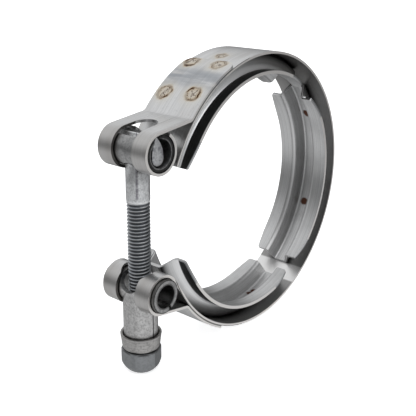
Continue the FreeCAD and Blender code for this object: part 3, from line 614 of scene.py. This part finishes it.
def make_shank():
    """A profile of radius and height turned round the axis, with the die's flash line as a low
    ridge whose section is a bell curve along the circle."""
    top = UPPER_EYE_Z - 1.0 * MM
    profile = np.array([
        (0.0, thread_top - 0.6 * MM),
        (THREAD_RADIUS - 0.2 * MM, thread_top - 0.6 * MM),
        (THREAD_RADIUS, thread_top),
        (SHANK_RADIUS, thread_top + 0.35 * MM),
        (SHANK_RADIUS, thread_top + 0.9 * MM),
        (SHANK_RADIUS, thread_top + 6.0 * MM),
        (SHANK_RADIUS, top),
        (0.0, top),
    ])
    turn = np.linspace(0, 2 * np.pi, 2 * BOLT_SIDES, endpoint=False)
    away = (turn - FLASH_ANGLE + np.pi) % (2 * np.pi) - np.pi
    ridge = FLASH_HEIGHT * np.exp(-(away * SHANK_RADIUS / FLASH_HALF_WIDTH) ** 2)
    share = smooth_step(profile[:, 1], thread_top, thread_top + 0.9 * MM)
    share = share * (profile[:, 0] > 0)
    radius = profile[:, 0][:, None] + ridge[None, :] * share[:, None]
    height = np.broadcast_to(profile[:, 1][:, None], radius.shape)
    points = np.stack([BOLT_X + radius * np.cos(turn), radius * np.sin(turn), height], axis=-1)
    return grid_mesh("shank", points, wrap=True)


# %% [markdown]
# ## The bolt's cross head
#
# The bolt ends in a bar across the shank that lies inside the upper tube. Its section is a
# teardrop, as the tube's open end shows. Arcs give that outline its real radii with few numbers,
# so it is drawn from four of them and then carried along the bar.

# %% The cross head
HEAD_HALF_WIDTH = 2.7 * MM
HEAD_DROP = 4.45 * MM
HEAD_RISE = 5.5 * MM
HEAD_TIP_RADIUS = 0.45 * MM
HEAD_TIP_LEAN = 0.5 * MM
HEAD_EDGE = 0.35 * MM
HEAD_MIDDLE = HEAD_HALF_WIDTH - HEAD_DROP


def drop_outline():
    """A teardrop round the upper eye's axis: half a circle below, two arcs that leave it upright
    and lean together, and a small half circle as the tip. The radius of a leaning arc follows
    from its rise and its run. Returns the points and their outward directions, anticlockwise."""
    tip_middle = HEAD_RISE - HEAD_TIP_RADIUS
    rise = tip_middle - HEAD_MIDDLE
    runs = [HEAD_HALF_WIDTH - HEAD_TIP_RADIUS + lean for lean in (HEAD_TIP_LEAN, -HEAD_TIP_LEAN)]
    right, left = [(run * run + rise * rise) / (2 * run) for run in runs]
    arcs = [
        (0.0, HEAD_MIDDLE, HEAD_HALF_WIDTH, np.linspace(np.pi, 2 * np.pi, 24)),
        (HEAD_HALF_WIDTH - right, HEAD_MIDDLE, right,
         np.linspace(0, math.asin(rise / right), 12)),
        (-HEAD_TIP_LEAN, tip_middle, HEAD_TIP_RADIUS, np.linspace(0, np.pi, 10)),
        (left - HEAD_HALF_WIDTH, HEAD_MIDDLE, left,
         np.linspace(np.pi - math.asin(rise / left), np.pi, 12)),
    ]
    points = []
    outward = []
    for across, up, radius, turn in arcs:
        direction = np.stack([np.cos(turn), np.sin(turn)], axis=-1)
        points.append(np.array([across, up]) + radius * direction)
        outward.append(direction)
    return np.concatenate(points), np.concatenate(outward)


def make_head():
    """The teardrop carried along Y. Near each end its outline moves inwards by a quarter circle,
    which rounds the end's edge, and then it closes in a point at the end's centre."""
    points, outward = drop_outline()
    bend = np.linspace(0, np.pi / 2, 7)
    inset = HEAD_EDGE * (1 - np.sin(bend))
    along = HEAD_HALF_LENGTH - HEAD_EDGE * (1 - np.cos(bend))
    rows = points[None] - inset[:, None, None] * outward[None]
    centre = np.broadcast_to([0.0, HEAD_MIDDLE], (1,) + points.shape)
    half = np.concatenate([centre, rows])
    depth = np.concatenate([[HEAD_HALF_LENGTH], along])
    outline = np.concatenate([half, half[::-1]])
    depth = np.concatenate([-depth, depth[::-1]])
    x = BOLT_X + outline[:, :, 0]
    z = UPPER_EYE_Z + outline[:, :, 1]
    y = np.broadcast_to(depth[:, None], x.shape)
    return grid_mesh("head", np.stack([x, y, z], axis=-1), wrap=True)


# %% [markdown]
# ## The bolt's finish
#
# The bolt has one grainy finish all over, with marks on it: the die's flash line is darker, the
# thread's crests are worn bright, painted shade darkens its roots, and a painted highlight rings
# the thread's start. Each mark is a mask over the height or the distance from the axis, so it needs
# the thread's measures and comes after them.

# %% The marks on the bolt
FLASH_VIOLET = (0.12, 0.11, 0.14, 1.0)
HEAD_SHADE = (0.20, 0.20, 0.22, 1.0)
THREAD_BLUE = (0.36, 0.375, 0.40, 1.0)


def bolt_marks_and_light(finish, colour):
    """The flash line down the shank, a painted highlight ring where the thread starts, and a thread
    that is bluer and darker, with painted shade in its roots that grows darker towards the bottom."""
    across = finish.x - BOLT_X
    from_axis = from_zero(across, finish.y)
    turn = finish.y.angle_from(across)
    worn = finish.noise((300, 300, 700), detail=3.0, shift=(6, 2, 1)).ramp(0.30, 0.60)
    above = finish.z.ramp(thread_top + 0.8 * MM, thread_top + 2.0 * MM)
    shank = above * from_axis.ramp(4.6 * MM, 4.4 * MM)
    flash = abs(turn - FLASH_ANGLE).ramp(0.15, 0.04) * shank
    colour = finish.mix(flash * (0.40 + 0.35 * worn), colour, FLASH_VIOLET)
    head = abs(finish.y).ramp(HEAD_HALF_LENGTH - 0.8 * MM, HEAD_HALF_LENGTH - 0.3 * MM)
    dent = finish.noise((520, 520, 520), detail=3.0, shift=(1, 1, 5)).ramp(0.50, 0.62)
    colour = finish.mix(head * (0.25 + 0.5 * dent), colour, HEAD_SHADE)
    threaded = finish.z.ramp(thread_top, thread_top - 0.5 * MM)
    colour = finish.mix(threaded, colour, THREAD_BLUE)
    # Painted shade in the thread's roots, darker towards the bottom.
    roots = from_axis.ramp(THREAD_RADIUS - 0.20 * MM, THREAD_RADIUS - 0.50 * MM) * threaded
    lower = finish.z.ramp(0.0, -30 * MM)
    colour = finish.mix(roots * (0.70 + 0.25 * lower), colour, grey(0.03))
    crests = from_axis.ramp(THREAD_RADIUS - 0.10 * MM, THREAD_RADIUS) * threaded
    colour = finish.mix(crests * worn * 0.75, colour, grey(0.72))
    # A painted highlight ring where the thread starts.
    start = abs(finish.z - thread_top - 0.1 * MM).ramp(0.35 * MM, 0.1 * MM)
    return finish.mix(start * (0.3 + 0.4 * worn), colour, grey(0.80))


# %% Put the bolt together
bolt = join_meshes("threaded_t_bolt", [make_thread(), make_shank(), make_head()])
bolt.data.materials.append(
    grainy_finish("bolt_steel", 0.70, 0.12, -0.01, 0.5, grain=1600, stains_and_shade=bolt_marks_and_light))
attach(bolt, "bolt")
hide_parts("t_bolt")
print("bolt:", len(bolt.data.polygons), "faces")

# %% [markdown]
# ## Floor, light and camera
#
# The clamp stands on a plain pale floor, as in a catalogue photograph. The floor glows a little,
# so that it stays white, and it is hidden from reflections, because satin steel would show it.

# %% The floor
FLOOR_GAP = 0.3 * MM
FLOOR_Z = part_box("lock_nut")[0].z - FLOOR_GAP
FLOOR_RADIUS = 4.0
RISE_RADIUS = 3.0


def make_floor():
    """A round floor whose rim curves up by a quarter circle, so that no edge shows behind the
    clamp from any side. It is a profile of radius and height turned round Z. Its glow grows from
    the middle outwards."""
    bend = np.linspace(0, np.pi / 2, 24)
    radius = np.concatenate([[0.0, 1.0, 2.0, 3.0], FLOOR_RADIUS + RISE_RADIUS * np.sin(bend)])
    height = np.concatenate([[0.0, 0.0, 0.0, 0.0], RISE_RADIUS * (1 - np.cos(bend))])
    turn = np.linspace(0, 2 * np.pi, 96, endpoint=False)
    points = np.stack([radius[:, None] * np.cos(turn), radius[:, None] * np.sin(turn),
                       FLOOR_Z + np.repeat(height[:, None], len(turn), axis=1)], axis=-1)
    mesh = grid_mesh("floor", points, wrap=True)
    mesh.shade_smooth()
    floor = bpy.data.objects.new("floor", mesh)
    bpy.context.scene.collection.objects.link(floor)
    paint = Finish("floor_paint", Roughness=0.9)
    paint.shader.inputs["Base Color"].default_value = (0.92, 0.92, 0.92, 1.0)
    paint.shader.inputs["Emission Strength"].default_value = 1.0
    out = from_zero(paint.x, paint.y).ramp(0.4, 1.5)
    glow = paint.mix(out, grey(0.55), grey(1.0))
    paint.tree.links.new(glow.socket, paint.shader.inputs["Emission Color"])
    mesh.materials.append(paint.material)
    floor.visible_glossy = False


make_floor()
print("floor at z %.1f mm" % (FLOOR_Z / MM))

# %% [markdown]
# ## The lights
#
# Satin steel shows mostly what it reflects, so the room itself is the main light: its brightness
# is a formula over the direction, which is easier to shape than a ring of lamps. One small soft
# box adds the glints.

# %% The lights
def soft_box(name, place, aim, width, height, power):
    """An area light at a place in metres, turned to face its aim."""
    lamp = bpy.data.lights.new(name, "AREA")
    lamp.shape = "RECTANGLE"
    lamp.size = width
    lamp.size_y = height
    lamp.energy = power
    holder = bpy.data.objects.new(name, lamp)
    holder.location = place
    holder.rotation_euler = (Vector(aim) - Vector(place)).to_track_quat("-Z", "Y").to_euler()
    bpy.context.scene.collection.objects.link(holder)


def light_room():
    """The room's brightness by direction, as smooth steps on combinations of its coordinates:
    a bright area high at the back, a white table below, a paler wall on the left and one in
    front, a bright panel high in front, and a dark card behind the clamp."""
    world = bpy.data.worlds.new("studio")
    bpy.context.scene.world = world
    world.use_nodes = True
    room = Wiring(world.node_tree, "Generated")
    high_back = room.y * 0.62 + room.z * 0.75 + room.x * 0.10
    card = (room.x * 0.85 + room.y * 0.50 - room.z * 0.35).ramp(0.78, 0.98)
    side_panel = (room.z * 0.62 - room.y * 0.78 + room.x * 0.05).ramp(0.91, 0.985)
    level = (0.10 + high_back.ramp(0.30, 0.90) * 0.84 + room.z.ramp(-0.05, -0.45) * 0.58
             + room.x.ramp(0.15, -0.80) * 0.15 + room.y.ramp(0.0, -0.90) * 0.28 + side_panel * 1.3)
    level = level * (1 - card * 0.80)
    background = room.tree.nodes["Background"]
    background.inputs["Color"].default_value = (0.98, 0.99, 1.0, 1.0)
    room.tree.links.new(level.socket, background.inputs["Strength"])


light_room()
soft_box("glint_box", place=(-0.25, -0.35, 0.80), aim=(0, 0, 0), width=0.45, height=0.45, power=1.0)
print("lights:", len(bpy.data.lights), "soft box in a bright room")

# %% [markdown]
# ## The camera
#
# The photograph was taken from the left of the ring and a little above it. The camera's turn,
# distance and lens were fitted to it, and they are kept here as angles and lengths.

# %% The camera
CAMERA_AZIMUTH = math.radians(-50.32)
CAMERA_ELEVATION = math.radians(19.24)
CAMERA_ROLL = math.radians(0.678)
CAMERA_ASIDE = 12.67 * MM
CAMERA_BELOW = 8.414 * MM
CAMERA_DISTANCE = 285.59 * MM
LENS_MM = 62.49


def make_camera():
    """Azimuth 0 looks along +Y. The camera is rolled a little and moved aside, so that the
    ring's centre lies where the photograph has it."""
    flat = math.cos(CAMERA_ELEVATION)
    back = Vector((math.sin(CAMERA_AZIMUTH) * flat, -math.cos(CAMERA_AZIMUTH) * flat,
                   math.sin(CAMERA_ELEVATION)))
    level_right = Vector((0, 0, 1)).cross(back).normalized()
    level_up = back.cross(level_right)
    right = level_right * math.cos(CAMERA_ROLL) + level_up * math.sin(CAMERA_ROLL)
    up = back.cross(right)
    place = back * CAMERA_DISTANCE - right * CAMERA_ASIDE - up * CAMERA_BELOW
    turn = Matrix((right, up, back)).transposed()
    lens = bpy.data.cameras.new("camera")
    lens.lens = LENS_MM
    camera = bpy.data.objects.new("camera", lens)
    camera.matrix_world = Matrix.Translation(place) @ turn.to_4x4()
    bpy.context.scene.collection.objects.link(camera)
    bpy.context.scene.camera = camera


make_camera()
bpy.context.scene.view_settings.view_transform = "Standard"
print("camera %.0f mm from the ring's centre" % (CAMERA_DISTANCE / MM))
